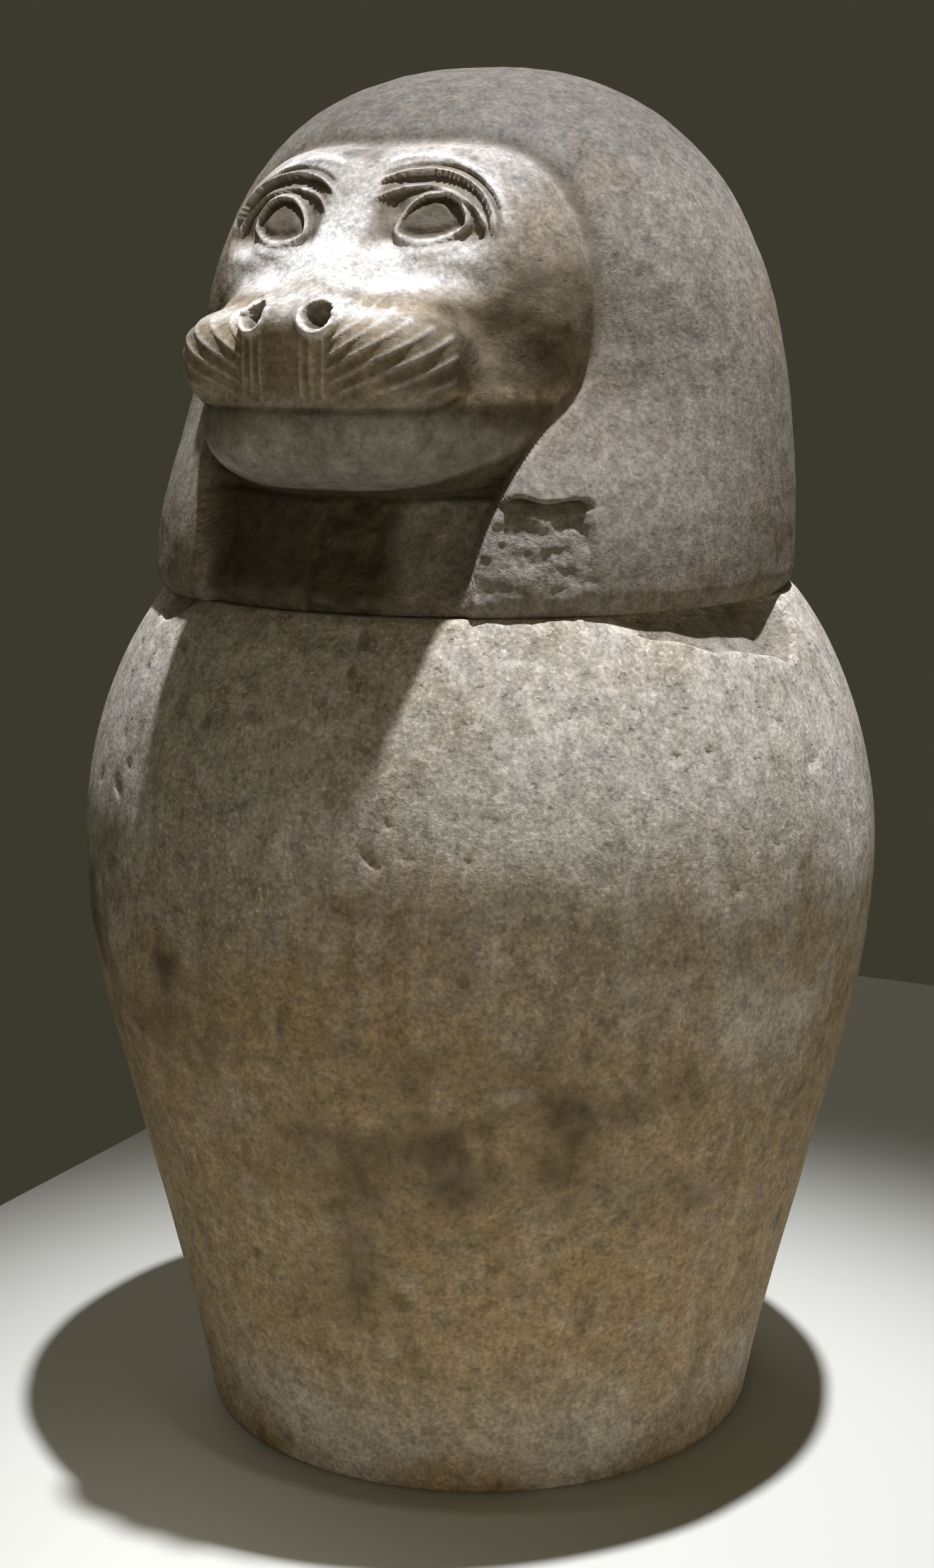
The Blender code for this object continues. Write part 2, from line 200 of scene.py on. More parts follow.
def wig(across, front, up):
    # a turned dome, a superellipse in profile above its band, whose crown leans back,
    # with a soft hollow beside the face and a worn lower edge
    power = 2.4
    lean = 8.0 * ease(40.0, 146.0, up)
    rise = np.maximum(up - lid["band"], 0.0)
    reach = np.hypot(across, front + lean)
    gauge = ((reach / lid["radius"]) ** power
             + (rise / (lid["height"] - lid["band"])) ** power) ** (1 / power) + 1e-9
    body = np.sqrt(reach ** 2 + rise ** 2) * (1 - 1 / gauge)
    turn = np.degrees(np.arctan2(np.abs(across), front))
    side = np.cos(np.clip((turn - 45.0) / 55.0, 0.0, 1.0) * np.pi / 2) ** 2
    tall = np.where(up < 62.0, 33.0, 44.0)
    hollow = 15.0 * side * hill(up, 62.0, tall)
    wornEdge = 2.2 * np.clip(1 - up / 6.0, 0.0, 1.0) ** 2
    return body + hollow + wornEdge


def chestLoss(across, front, up):
    # the sunk throat between the lappets, and the rough hollow broken out below it, each a
    # depth inside soft edges; the throat's edge is a bearing about the rays' start, so that
    # its wall runs along them, and the break is shallower on its right
    turn = np.degrees(np.arctan2(across, front))
    ragged = 1.6 * noise(turn / 5.0, turn * 0.0, turn * 0.0, 3)
    inside = ease(-6.0, -3.0, turn) * ease(48.0, 45.8, turn)
    inside = inside * ease(lid["breakTop"] + ragged, lid["breakTop"] - 2.5 + ragged, up)
    rough = 1.8 * noise(turn / 4.0, up / 4.0, front * 0.0, 5)
    foot = 0.35 + 0.65 * ease(0.0, 20.0, up)
    bearing = np.degrees(np.arctan2(np.abs(across), front - lid["raysFront"]))
    edge = 31.6 + 0.0069 * up ** 2
    neck = ease(edge, edge - 2.5, bearing) * ease(60.0, 48.0, up) * ease(20.0, 35.0, front)
    shallow = 1 - 0.78 * ease(10.0, 20.0, turn) * ease(29.5, 27.0, up)
    return foot * np.maximum(inside * (11.0 + rough) * shallow, 10.0 * neck)


def face(across, front, up):
    # forehead and cheeks, brow, jaw and snout: superellipsoids joined with soft fillets
    side = np.abs(across)
    below = np.maximum(66.0 - up, 0.0)
    drop = np.where(up < 66.0, 62.9 * (below / 46.5) ** 2.33, up - 66.0)
    form = ovoid(across, front, drop, (0.0, 10.0, 0.0), (61.5, 68.0, 62.9), 2.72)
    for centre, half, power, reach in (
            ((36.0, 45.0, 71.0), (20.0, 20.0, 26.0), 2.0, 8.0),
            ((0.0, 40.0, 52.0), (51.0, 50.0, 26.0), 2.7, 8.0),
            ((0.0, 50.0, 54.0), (39.0, 55.5, 24.0), 3.2, 6.0),
            ((18.0, 66.0, 73.5), (19.0, 26.0, 13.0), 2.2, 6.0)):
        form = joined(form, ovoid(side, front, up, centre, half, power), reach)
    return noseAndPads(form, side, front, up)


def noseAndPads(form, side, front, up):
    # the ridge from the brows to the nose, a bar that narrows along its run, its blunt end
    # and the pads beside it
    low, high = np.array([86.0, 69.5]), np.array([58.0, 96.0])
    run = high - low
    along = np.clip(((front - low[0]) * run[0] + (up - low[1]) * run[1]) / run.dot(run), 0.0, 1.0)
    thick, wide = 16.5 - 3.5 * along, 16.5 - 5.0 * along
    apart = np.hypot(front - low[0] - along * run[0], up - low[1] - along * run[1])
    gauge = ((side / wide) ** 3 + (apart / thick) ** 3) ** (1 / 3) + 1e-9
    form = joined(form, np.hypot(side, apart) * (1 - 1 / gauge), 4.0)
    form = joined(form, ovoid(side, front, up, (0.0, 83.0, 67.5), (17.5, 24.0, 15.5), 3.5), 3.0)
    return joined(form, ovoid(side, front, up, (18.0, 76.0, 65.3), (21.5, 29.0, 14.8), 2.6), 2.0)


def eyelids(side, up):
    # signed distance to the line of the eyelids, where two circles overlap: a round arc
    # above and a flatter one below, with the outer corner a little higher
    x = side - lid["eye"][0]
    y = up - lid["eye"][1] - 0.086 * x
    return np.maximum(np.hypot(x, y) - 9.1, np.hypot(x, y - 12.2) - 15.4)


def sockets(across, side, up):
    # each socket steps down under two arched edges, where outer and inner are 1, and runs
    # out under the eye, whose ball stands in it
    middle = 19.7 - 1.7 * np.tanh(across / 4.0)
    outer = np.hypot((side - middle) / 20.5, (up - 96.0) / 17.6)
    inner = np.hypot((side - middle - 0.6) / 18.0, (up - 95.0) / 14.6)
    steps = 1.6 * ease(1.03, 0.96, outer) + 1.3 * ease(1.02, 0.95, inner) + 1.4 * ease(1.0, 0.6, inner)
    low = -steps * ease(90.0, 98.0, up) * ease(6.0, 15.0, side)
    low -= 1.3 * hill(side, 11.5, 3.0) * hill(up, 103.5, 4.5)
    eyeball = np.hypot((side - lid["eye"][0]) / 11.5, (up - 101.0) / 8.5)
    return low + 2.0 * ease(1.25, 0.8, eyeball), outer, inner


def fineCarving(side, up, outer, inner):
    # lines that stand on the face, each a bell curve across it: brows, eyelids and iris
    lines = ease(97.0, 101.0, up) * ease(5.0, 9.0, side)
    crest = np.hypot((side - 16.0) / 25.0, (up - 96.0) / 22.0)
    height = 0.7 * hill(outer, 1.035, 0.026) + 0.7 * hill(inner, 1.03, 0.028)
    height += 0.6 * hill(crest, 1.0, 0.045)
    height -= 0.7 * hill(outer, 1.10, 0.03) + 0.5 * hill(outer, 0.965, 0.03)
    lids = eyelids(side, up)
    height = (height * lines + 0.95 * hill(lids, 0.0, 0.6) - 0.5 * hill(lids, 2.0, 0.9)
              - 0.5 * hill(lids, -1.8, 0.9))
    iris = ease(6.5, 6.1, np.hypot(side - 21.9, up - 99.4)) * ease(-1.0, -1.7, lids)
    return height + 0.55 * iris


def whiskers(side, front, up):
    # raised lines that fan up and out over each pad, and upright ones on the lip, each a
    # bell curve about the middle of an evenly repeated gap
    girth = 45.0 * np.arctan2(side, np.maximum(front - 62.0, 1.0)) - 12.0
    rooted = (up + 0.6 * girth) / (1 + 0.019 * girth)
    top = up + 0.0135 * np.maximum(side - 12.0, 0.0) ** 2
    onPad = ease(0.5, 1.5, girth) * ease(36.0, 33.0, girth) * ease(56.5, 59.5, up) * ease(82.5, 80.5, top)
    gap, lipGap = lid["whiskerGap"], lid["lipLineGap"]
    line = np.abs((rooted / gap) % 1.0 - 0.5) * gap
    upright = np.abs(((side - 5.9) / lipGap + 0.5) % 1.0 - 0.5) * lipGap
    onLip = ease(5.0, 5.4, side) * ease(12.9, 12.5, side) * ease(90.0, 95.0, front)
    onLip = onLip * ease(55.5, 58.0, up) * ease(72.5, 71.0, up)
    return 0.5 * hill(line, 0.0, 0.48) * onPad + 0.5 * hill(upright, 0.0, 0.5) * onLip


def carving(across, front, up):
    # height added to the face by its features, and the share of it that is fine line
    side = np.abs(across)
    low, outer, inner = sockets(across, side, up)
    fine = fineCarving(side, up, outer, inner) + whiskers(side, front, up)
    # each nostril slants back and down into the stone, with a lip round its lower half
    slant = up - lid["nostril"][1] + 0.13 * (lid["noseTip"] - front)
    nostril = np.hypot(side - lid["nostril"][0] - 0.1 * (front - lid["noseTip"]), 0.95 * slant)
    blunt = ease(84.0, 92.0, front)
    fine += 1.5 * hill(nostril, 4.6, 0.95) * blunt * ease(2.5, 0.5, slant) * ease(3.5, 6.0, side)
    fine -= 5.5 * ease(3.9, 2.3, nostril) * blunt
    crease = hill(up, 81.5 + 0.9 * np.sin(side), 0.8)
    fine -= 0.8 * crease * ease(15.0, 12.0, side) * ease(90.0, 96.0, front)
    mouth = up - lid["mouth"] - 6.0 * ease(33.0, 43.0, side)
    fine -= 1.1 * hill(mouth, 0.0, 0.8) * ease(70.0, 78.0, front) * ease(39.5, 36.5, side)
    onFront = ease(20.0, 45.0, front)
    return (low + fine) * onFront, fine * onFront


def headField(across, front, up, carved):
    # below zero inside the stone: wig and face joined, with the carving raised on them
    # and a soft roll along the line where they meet
    cloth = wig(across, front, up) + chestLoss(across, front, up)
    skin = face(across, front, up)
    stone = joined(cloth, skin, 1.0)
    if carved:
        stone = stone - carving(across, front, up)[0] + 1.1 * hill(cloth - skin, 0.0, 1.4)
    return stone


def stoneSkin(start, heading, longest):
    # distance along each ray to the outermost crossing: steps out along the plain form,
    # halving between the last step inside and the next, then halving on the carved form
    steps = 40
    searchIn, searchOut = 14.0, 4.0

    def field(distance, carved):
        p = start + heading * distance[..., None]
        return headField(p[..., 0], p[..., 1], p[..., 2], carved)

    inner = np.zeros(heading.shape[:-1])
    for step in np.linspace(0.15, 1.0, steps) * longest:
        inner = np.where(field(np.full(inner.shape, step), False) < 0, step, inner)
    low, high = inner, inner + longest / steps + 0.5
    for carved, halvings in ((False, 10), (True, 14)):
        for _ in range(halvings):
            middle = (low + high) / 2
            within = field(middle, carved) < 0
            low, high = np.where(within, middle, low), np.where(within, high, middle)
        if not carved:
            low, high = low - searchIn, high + searchOut
    return (low + high) / 2


def spread(count, low, high, weight):
    # positions from low to high that lie closer where the weight function is larger
    fine = np.linspace(low, high, 4001)
    total = np.cumsum(weight((fine[1:] + fine[:-1]) / 2))
    return np.interp(np.arange(count) / count * total[-1], np.concatenate([[0.0], total]), fine)


def rayHeight(polar):
    # the height that a ray of each polar angle starts from: high for the crown and
    # the eyes, low for the jaw, so that no ray grazes the brows or the chin
    low, high = lid["raysLow"], lid["raysHigh"]
    return low + (high - low) * ease(102.0, 58.0, np.degrees(polar))


def lidMarks(points):
    # how strongly dirt and painted shade, brown patina, and bright wear, painted highlight and painted
    # light show at each point, from soft masks of the head's regions and a slow wander that frays their
    # edges
    across, front, up = points[..., 0], points[..., 1], points[..., 2]
    cloth = wig(across, front, up)
    skin = face(across, front, up)
    fine = carving(across, front, up)[1]
    side = np.abs(across)
    wander = rugged(points * np.array([1.0, 1.0, 1.2]), 16.0, 4, 80)
    onFace = ease(1.0, -1.0, skin - cloth) * ease(0.0, 20.0, front)
    loss = chestLoss(across, front, up)
    turn = np.degrees(np.arctan2(across, front))
    fresh = ease(10.0, 17.0, turn) * ease(48.0, 46.0, turn) * ease(31.0, 28.0, up)
    outer = sockets(across, side, up)[1]
    brows = onFace * ease(1.14, 1.08, outer + 0.03 * wander) * ease(93.0, 98.0, up) * ease(5.0, 9.0, side)
    lids = eyelids(side, up)
    eye = onFace * ease(0.3, -0.5, lids)
    pads = onFace * ease(66.0, 72.0, front) * ease(53.0, 56.0, up) * ease(88.0, 82.0, up + 4.0 * wander)
    jaw = onFace * ease(61.0, 50.0, up + 9.0 * ease(30.0, 50.0, side) + 4.0 * wander)
    outwards = side + 8.0 * wander + 9.0 * ease(84.0, 76.0, up)
    cheek = onFace * ease(30.0, 44.0, outwards) * ease(106.0, 84.0, up)
    nose = onFace * ease(90.0, 97.0, front) * ease(74.0, 78.0, up)
    # darker in the cut lines, where wig and face meet, on the brows and inside the eyelids; painted shade
    # in the sunk throat, the older part of the break and the outer cheeks; dirt and painted shade between
    # the whiskers; dirt on the jaw and the nose, and in loose patches
    grimeAndShade = np.clip(-fine * 0.8 * onFace, 0.0, 1.0)
    for darkening in (0.5 * hill(cloth - skin, 0.0, 1.2) * ease(0.0, 20.0, front),
                  ease(1.0, 6.0, loss) * (0.75 - 0.72 * fresh),
                  0.4 * brows * ease(0.5, 0.0, fine),
                  eye * (0.6 + 0.2 * ease(103.0, 106.0, up)) * ease(0.6, 0.2, hill(lids, 0.0, 0.6)),
                  0.32 * pads * ease(0.45, 0.05, fine) * (0.9 + 0.5 * wander),
                  0.1 * jaw * (1.0 + wander),
                  0.8 * cheek * (0.85 + 0.4 * wander) * ease(54.0, 62.0, up),
                  0.6 * nose * ease(-0.1, 0.3, wander),
                  0.6 * onFace * ease(0.5, 0.75, wander)):
        grimeAndShade = np.maximum(grimeAndShade, darkening)
    # pale stone: the rubbed brow and nose, which also carry painted highlight, the ridges of the carving,
    # painted highlight on the cheeks beside the nose and, less, painted light on the jaw, which would be
    # lost in the shadow of the snout
    rubbedAndHighlight = onFace * ease(80.0, 87.0, up) * ease(46.0, 32.0, side) * (1.0 - brows) * (1.0 - eye)
    rubbedAndHighlight = rubbedAndHighlight * (1.0 - 0.5 * ease(96.0, 110.0, up))
    rubbedAndHighlight = np.maximum(rubbedAndHighlight, 0.7 * nose)
    # painted highlight on the cheeks under the eyes, beside the nose
    paintedHighlight = onFace * hill(side, 17.0, 13.0) * ease(81.0, 85.0, up) * ease(97.0, 92.0, up)
    ridges = onFace * np.clip(fine, 0.0, 1.0) * ease(1.0, 0.0, eye * ease(0.5, 0.1, hill(lids, 0.0, 0.6)))
    wearAndPaintedLight = 0.9 * rubbedAndHighlight * (0.75 - 0.5 * wander) + ridges * (0.85 + 0.4 * wander)
    # the jaw's share is painted light
    wearAndPaintedLight = np.clip(np.maximum(np.maximum(wearAndPaintedLight, paintedHighlight), jaw * (0.3 + 0.2 * wander)), 0.0, 1.0)
    patina = onFace * ease(118.0, 70.0, up)
    # painted shade: the crown is darker, so that the high lamp doesn't bleach it
    shade = ease(95.0, 135.0, up) * (1 - onFace)
    torn = ease(1.0, 3.0, loss) * ease(lid["breakTop"], lid["breakTop"] - 1.5, up)
    return {"grimeAndShade": grimeAndShade, "wearAndPaintedLight": wearAndPaintedLight, "patina": patina, "pecked": 0.25 + 0.0 * up,
            "torn": torn, "shade": shade}


def makeLid():
    # rows of points where rays meet the stone, from the crown down to the lower edge, then
    # rings across the underside and round the plug, scaled from the drawing to the frame
    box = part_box("baboon_head_lid")
    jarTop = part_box("jar")[1][2] + 0.0003
    tall = (box[1][2] - jarTop) / lid["height"]
    wide = (box[1][0] - box[0][0]) / 2 / lid["radius"]
    middle = np.array([(box[1][0] + box[0][0]) / 2, box[1][1] - lid["radius"] * wide, jarTop])
    around = spread(lid["columns"], -np.pi, np.pi, lid["columnWeight"])
    level = np.stack([np.sin(around), np.cos(around), 0 * around], axis=-1)
    low = np.array([0.0, 0.0, 0.05])
    edge = low + level * stoneSkin(low, level, 130.0)[:, None]
    lowest = np.arctan2(np.hypot(edge[:, 0], edge[:, 1] - lid["raysFront"]), -lid["raysLow"])
    bearing = np.arctan2(edge[:, 0], edge[:, 1] - lid["raysFront"])
    share = spread(lid["rows"], 0.0, 1.0, lid["rowWeight"])[1:]
    polar = lowest[None, :] * share[:, None]
    start = np.stack([0 * polar, lid["raysFront"] + 0 * polar, rayHeight(polar)], axis=-1)
    heading = np.stack([np.sin(polar) * np.sin(bearing), np.sin(polar) * np.cos(bearing),
                        np.cos(polar)], axis=-1)
    distance = stoneSkin(start, heading, 140.0)
    points = start + heading * distance[..., None]
    marks = lidMarks(points)
    points = points + heading * lidGrain(points)[..., None]
    straightUp = np.array([[0.0, 0.0, 1.0]])
    heart = np.array([0.0, lid["raysFront"], lid["raysHigh"]])
    top = (heart + straightUp * stoneSkin(heart, straightUp, 140.0)[:, None])[0]
    edge[:, 2] = 0.0
    turn = np.arctan2(edge[:, 0], edge[:, 1])
    ring = np.stack([np.sin(turn), np.cos(turn), 0 * turn], axis=-1)
    rows = [*points, edge]
    plug, depth = lid["plugRadius"], lid["plugDepth"]
    for radius, drop in ((80.0, 0.0), (plug + 1.0, 0.0), (plug, 1.0), (plug, depth - 1.5),
                         (plug - 1.5, depth), (20.0, depth)):
        rows.append(ring * radius - np.array([0.0, 0.0, drop]))
    rows = np.array(rows)
    marks = {mark: np.concatenate([values, np.repeat(values[-1:], len(rows) - len(values), axis=0)])
             for mark, values in marks.items()}
    scale = np.array([wide, -wide, tall])
    under = np.array([0.0, 0.0, -depth])
    return closedSurface("baboonHeadLid", rows * scale + middle, top * scale + middle,
                         under * scale + middle, marks)


def lidGrain(points):
    # the last fraction of a millimetre: hand-made waviness, and the torn stone of the chest
    across, front, up = points[..., 0], points[..., 1], points[..., 2]
    wavy = lid["unevenness"] * (rugged(points, 22.0, 2, 20) + 0.4 * rugged(points, 5.0, 2, 30))
    turn = np.degrees(np.arctan2(across, front))
    torn = ease(-7.0, -4.0, turn) * ease(48.0, 46.5, turn) * ease(30.0, 28.0, up) * ease(0.0, 2.0, up)
    crumbs = rugged(points * np.array([1.0, 1.0, 1.5]), 5.5, 3, 40)
    return wavy * ease(0.0, 4.0, up) + 0.9 * torn * crumbs


# The jar: drawn in millimetres, turn in degrees from the face towards +X

jar = {
    "foot": 83.1,
    "belly": 117.7,
    "bellyUp": 172.0,        # height of the widest place
    "rim": 91.9,
    "height": 250.0,
    "mouth": 55.0,
    "neck": 30.0,            # length of the straight part of the mouth
    "wall": 26.0,
    "floor": 35.0,           # height of the hollow's floor
    "columns": 400,
    "towardsFront": 0.45,    # how much closer the columns stand at the front
    # chips in the rim: turns where each starts, is deepest and ends, depth and reach inwards
    "chips": ((37.0, 82.0, 97.0, 14.5, 11.0), (-56.0, -39.0, -27.0, 6.0, 5.0)),
}

# Nicks in the jar's face: both ends, half width and depth
jarNicks = (
    ((26.6, 112.7, 190.8), (28.0, 112.4, 190.3), 1.2, 1.4),
    ((24.0, 113.2, 193.0), (28.0, 112.3, 189.0), 0.7, 0.9),
    ((36.7, 109.5, 192.5), (33.5, 110.6, 191.5), 0.7, 0.8),
    ((103.5, 54.3, 180.4), (101.5, 57.0, 175.5), 1.0, 1.1),
    ((110.6, 18.2, 208.3), (109.4, 22.0, 205.8), 1.3, 1.4),
    ((116.2, 12.1, 174.8), (115.6, 15.0, 167.0), 0.8, 0.7),
    ((-65.5, 93.5, 198.9), (-63.5, 94.6, 197.0), 1.5, 1.6),
    ((-64.8, 97.4, 178.6), (-61.0, 99.6, 178.3), 1.0, 1.0),
)

# Stains and pale patches on the jar, with painted shade and painted light among them: turn, height, half
# widths and strength
# the long stain at turn -45 is painted shade down the jar's left side, away from the lamp
jarStainsAndPaintedShade = (
    (-45.0, 160.0, 16.0, 42.0, 0.4), (-18.0, 154.0, 6.0, 6.0, 0.5), (-14.0, 132.0, 13.0, 12.0, 0.35),
    (24.0, 112.0, 28.0, 26.0, 0.5), (50.0, 121.0, 14.0, 7.0, 0.3), (3.0, 60.0, 14.0, 30.0, 0.25),
    (-32.0, 90.0, 12.0, 20.0, 0.25), (60.0, 92.0, 10.0, 8.0, 0.25), (-150.0, 110.0, 34.0, 26.0, 0.4),
    (150.0, 80.0, 30.0, 30.0, 0.35), (-95.0, 120.0, 24.0, 28.0, 0.35), (120.0, 140.0, 24.0, 16.0, 0.35),
)
# the patch at turn -52 on the left shoulder and the band all round the foot are painted light; the one at
# turn 78 on the right of the belly is partly a pale patch, partly painted light
jarPaleAndPaintedLight = (
    (72.0, 143.0, 14.0, 10.0, 0.6), (32.0, 128.0, 3.0, 3.0, 0.6), (45.0, 205.0, 28.0, 24.0, 0.4),
    (78.0, 165.0, 24.0, 32.0, 0.9), (-52.0, 212.0, 22.0, 24.0, 0.9), (88.0, 205.0, 18.0, 26.0, 0.5),
    (16.0, 68.0, 2.0, 3.0, 0.5), (-12.0, 118.0, 5.0, 7.0, 0.4), (-160.0, 150.0, 14.0, 12.0, 0.6),
    (0.0, 8.0, 400.0, 20.0, 0.7),
)


def jarProfile():
    # outside up from the foot, across the rim and down the hollow, as reach and height:
    # cubic curves end to end, and how many of the points are on the outside
    foot, belly, bellyUp, rim = jar["foot"], jar["belly"], jar["bellyUp"], jar["rim"]
    height, mouth, floorUp = jar["height"], jar["mouth"], jar["floor"]
    shoulder = height - bellyUp
    edge = curve((foot - 2.0, 0.0), (foot - 0.6, 0.0), (foot, 0.6), (foot + 0.25, 2.2), 5)
    lower = curve((foot + 0.25, 2.2), (foot + 0.09 * bellyUp, 0.48 * bellyUp),
                  (belly, 0.75 * bellyUp), (belly, bellyUp), 112)
    upper = curve((belly, bellyUp), (belly, bellyUp + 0.37 * shoulder),
                  (rim + 0.2 * shoulder, height - 0.24 * shoulder), (rim + 0.6, height - 1.2), 64)
    land = [(reach, height) for reach in np.linspace(rim - 0.8, rim - 14.0, 12)]
    lip = curve((mouth + 1.2, height), (mouth + 0.3, height), (mouth, height - 0.3),
                (mouth, height - 1.5), 3)
    neckFoot = height - jar["neck"]
    widest, floorReach = belly - jar["wall"], foot - jar["wall"]
    neck = curve((mouth, height - 1.5), (mouth, neckFoot + 20.0), (mouth, neckFoot + 8.0),
                 (mouth, neckFoot), 5)
    hollowTop = curve((mouth, neckFoot), (mouth + 20.0, neckFoot - 8.0), (widest, bellyUp + 16.0),
                      (widest, bellyUp - 6.0), 12)
    hollowFoot = curve((widest, bellyUp - 6.0), (widest, 0.5 * bellyUp),
                       (floorReach + 12.0, floorUp + 10.0), (floorReach, floorUp), 14)
    outer = np.concatenate([edge, lower, upper, land])
    inner = np.concatenate([lip, neck, hollowTop, hollowFoot, [(floorReach, floorUp)]])
    return np.concatenate([outer, inner]), len(outer)


def rimChips(reach, height, turn):
    # lowers the rim's outer corner to the sloping face of each lost chip
    for start, deepest, end, depth, inward in jar["chips"]:
        grow = ease(start, deepest, turn) * ease(end, deepest, turn)
        ragged = 1 + 0.25 * noise(turn / 6.0, turn * 0.0, turn * 0.0, 11)
        fall = depth * grow * ragged
        slope = depth / (inward + 0.3 * depth)
        lowest = jar["height"] - fall + (jar["rim"] + 0.3 * fall - reach) * slope
        lowest = np.maximum(lowest, jar["height"] - fall)
        height = np.where(grow > 0, np.minimum(height, lowest), height)
    return height


def makeJar():
    # the profile turned about the axis, with columns crowded to the front by a sine of
    # the turn, the chips taken off and the surface's grain added outwards
    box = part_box("jar")
    tall = box[1][2] / jar["height"]
    wide = (box[1][0] - box[0][0]) / 2 / jar["belly"]
    profile, outer = jarProfile()
    around = 2 * np.pi * (np.arange(jar["columns"]) / jar["columns"] - 0.5)
    around = around - jar["towardsFront"] * np.sin(around)
    reach = np.repeat(profile[:, :1], jar["columns"], axis=1)
    height = np.repeat(profile[:, 1:], jar["columns"], axis=1)
    outside = np.arange(len(profile))[:, None] < outer
    turn = np.degrees(around)[None, :] + 0 * reach
    chipped = np.where(outside, rimChips(reach, height, turn), height)
    points = np.stack([reach * np.sin(around), reach * np.cos(around), chipped], axis=-1)
    marks = jarMarks(points, turn, height - chipped)
    grain = jarGrain(points, marks["pecked"]) * outside * ease(0.0, 3.0, chipped)
    onWall = ease(jar["height"], jar["height"] - 1.0, height)
    outward = np.stack([np.sin(turn * np.pi / 180), np.cos(turn * np.pi / 180), 0 * turn], axis=-1)
    points = points + outward * (grain * onWall)[..., None]
    scale = np.array([wide, -wide, tall])
    marks = {mark: values[::-1] for mark, values in marks.items()}
    return closedSurface("limestoneJar", points[::-1] * scale, np.array([0.0, 0.0, jar["floor"] * tall]),
                         np.zeros(3), marks)


def spots(turn, up, places):
    # the sum of soft oval patches
    total = 0.0
    for at, height, wide, tall, strong in places:
        away = (turn - at + 180.0) % 360.0 - 180.0
        total = total + strong * np.exp(-(away / wide) ** 2 - ((up - height) / tall) ** 2)
    return total


def jarMarks(points, turn, fallen):
    # pecked skin above the belly, brown patina below it, stains and painted shade, pale patches and
    # painted light, and darkening where the rim has fallen away by this much
    up = points[..., 2]
    wander = rugged(points, 30.0, 3, 50)
    pecked = ease(128.0, 212.0, up + 22.0 * wander + 9.0 * rugged(points, 9.0, 3, 55))
    patina = 1 - 0.9 * pecked
    grimeAndShade = np.clip(spots(turn, up, jarStainsAndPaintedShade) * (1.0 + 0.9 * rugged(points, 14.0, 4, 58)), 0.0, 0.7)
    grimeAndShade = np.maximum(grimeAndShade, 0.5 * ease(0.75, 1.1, rugged(points, 7.0, 3, 59)))
    grimeAndShade = np.maximum(grimeAndShade, 0.45 * ease(1.0, 4.0, fallen))
    wearAndPaintedLight = np.clip(spots(turn, up, jarPaleAndPaintedLight) * (0.9 + 1.0 * wander), 0.0, 1.0)
    return {"grimeAndShade": grimeAndShade, "wearAndPaintedLight": wearAndPaintedLight, "patina": patina, "pecked": pecked,
            "torn": 0.5 * ease(1.0, 3.0, fallen), "shade": 0.0 * up}


def jarGrain(points, pecked):
    # hand-made waviness everywhere, pits where the skin is pecked, and the nicks
    wavy = 0.5 * rugged(points, 34.0, 2, 60)
    pits = ease(0.85, 1.2, rugged(points, 5.0, 2, 70))
    return wavy - 0.8 * pits * pecked - strokeDepth(points, jarNicks)


# Materials. Colours are sRGB hex, turned to linear by one function

def linear(hexColour):
    # the standard sRGB curve undone: a straight foot, then a power of 2.4
    values = [int(hexColour[i:i + 2], 16) / 255 for i in (1, 3, 5)]
    return (*[v / 12.92 if v <= 0.04045 else ((v + 0.055) / 1.055) ** 2.4 for v in values], 1.0)


def addNode(tree, kind, settings, links):
    # one node with its properties and socket values, fed from other nodes' outputs
    node = tree.nodes.new(kind)
    for key, value in settings.items():
        if isinstance(key, str) and hasattr(node, key):
            setattr(node, key, value)
        else:
            node.inputs[key].default_value = value
    for key, (source, output) in links.items():
        tree.links.new(source.outputs[output], node.inputs[key])
    return node


# Widths in millimetres of the stone's patterns, with their detail and roughness. Real
# grain, specks and pits are a few tenths of a millimetre, and are drawn coarser to show
stonePatterns = {
    "clouds": (38.0, 4.0, 0.6),
    "blotch": (11.0, 5.0, 0.65),
    "mottle": (5.0, 6.0, 0.72),
    "grain": (1.3, 3.0, 0.6),
    "speck": (0.9, 1.0, 0.5),
    "streaks": (7.0, 4.0, 0.6),
}
pitSpacing = 3.0


